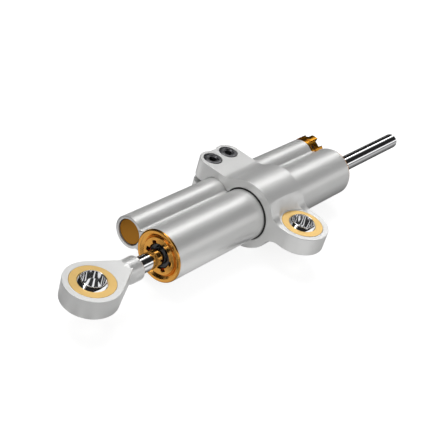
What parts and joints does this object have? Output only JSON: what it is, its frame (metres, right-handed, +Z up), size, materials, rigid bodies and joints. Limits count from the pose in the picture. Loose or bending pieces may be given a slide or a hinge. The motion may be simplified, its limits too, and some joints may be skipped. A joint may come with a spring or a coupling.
{
  "type": "steering damper",
  "caption": "Linear motorcycle steering damper: rod through a cylinder, side tube with adjuster knob, spherical bearing on the rod end and on a sliding clamp.",
  "frame": {"origin": "centre of the ball in the rod end, on the axis of its bolt", "axes": "+X along the piston rod towards its free tail, +Z up along the rod end's bolt, -Y towards the clamp's bearing"},
  "size_m": [0.2001, 0.0589, 0.0278],
  "materials": {
    "anodised_silver": "satin, blasted and clear anodised",
    "anodised_gold": "turned, gold anodised",
    "anodised_amber": "satin, dark amber anodised",
    "anodised_orange": "satin, orange-gold anodised",
    "bush_bronze": "turned",
    "seal_rubber": "moulded",
    "black_steel": "blackened",
    "plain_steel": "ground",
    "dark_steel": "satin dark",
    "plain_aluminium": "turned",
    "band_plastic": "moulded",
    "rod_chrome": "polished",
    "ring_gold": "turned",
    "ball_chrome": "polished",
    "liner_black": "moulded"
  },
  "bodies": {
    "cylinder": {"body_extrusion": "anodised_silver", "front_cap": "anodised_gold", "front_guide_bush": "bush_bronze", "front_rod_seal": "seal_rubber", "front_seal_washer": "plain_steel", "front_wiper": "seal_rubber", "front_cap_oring": "seal_rubber", "rear_cap": "anodised_gold", "rear_guide_bush": "bush_bronze", "rear_rod_seal": "seal_rubber", "rear_seal_washer": "plain_steel", "rear_wiper": "seal_rubber", "rear_cap_oring": "seal_rubber", "side_plug": "anodised_amber", "side_plug_ring": "black_steel", "side_plug_oring": "seal_rubber", "reservoir_spring": "plain_steel", "valve_cartridge": "bush_bronze", "valve_cartridge_oring": "seal_rubber", "detent_spring": "plain_steel", "detent_ball": "plain_steel"},
    "floating_piston": {"floating_piston": "plain_aluminium", "floating_piston_oring": "seal_rubber"},
    "knob": {"adjuster_knob": "anodised_orange", "knob_grub_screw": "dark_steel", "metering_shaft": "plain_steel"},
    "piston_band": {"piston_band": "band_plastic"},
    "rod": {"piston_rod": "rod_chrome", "piston": "plain_aluminium", "piston_clips": "plain_steel", "rod_end": "anodised_silver", "rod_end_race": "ring_gold"},
    "rod_end_ball": {"rod_end_ball": "ball_chrome"},
    "rod_end_sleeve": {"rod_end_sleeve": "ball_chrome"},
    "clamp": {"clamp": "anodised_silver", "clamp_liner": "liner_black", "clamp_screws": "dark_steel", "clamp_race": "ring_gold"},
    "clamp_ball": {"clamp_ball": "ball_chrome"},
    "clamp_sleeve": {"clamp_sleeve": "ball_chrome"}
  },
  "joints": [
    {"name": "rod_slide", "type": "slide", "parent": "cylinder", "child": "piston_band", "axis": [1, 0, 0], "range_m": [-0.049, 0.01]},
    {"name": "rod_spin", "type": "hinge", "parent": "piston_band", "child": "rod", "pos_m": [0.1054, 0, 0], "axis": [1, 0, 0], "continuous": true},
    {"name": "rod_end_tilt", "type": "hinge", "parent": "rod", "child": "rod_end_ball", "pos_m": [0, 0, 0], "axis": [0, 1, 0], "range_deg": [-10, 10]},
    {"name": "rod_end_turn", "type": "hinge", "parent": "rod_end_ball", "child": "rod_end_sleeve", "pos_m": [0, 0, 0], "axis": [0, 0, 1], "continuous": true},
    {"name": "clamp_slide", "type": "slide", "parent": "cylinder", "child": "clamp", "axis": [1, 0, 0], "range_m": [-0.043, 0.034]},
    {"name": "clamp_bearing_tilt", "type": "hinge", "parent": "clamp", "child": "clamp_ball", "pos_m": [0.0905, -0.0197, 0.00095], "axis": [0, 1, 0], "range_deg": [-10, 10]},
    {"name": "clamp_bearing_turn", "type": "hinge", "parent": "clamp_ball", "child": "clamp_sleeve", "pos_m": [0.0905, -0.0197, 0.00095], "axis": [0, 0, 1], "continuous": true},
    {"name": "floating_piston_slide", "type": "slide", "parent": "cylinder", "child": "floating_piston", "axis": [1, 0, 0], "range_m": [-0.001, 0.001], "stiffness_N_per_m": 800, "deforming": ["reservoir_spring"]},
    {"name": "knob_turn", "type": "hinge", "parent": "cylinder", "child": "knob", "pos_m": [0.141, 0.01535, 0], "axis": [1, 0, 0], "range_deg": [-120, 150]}
  ]
}
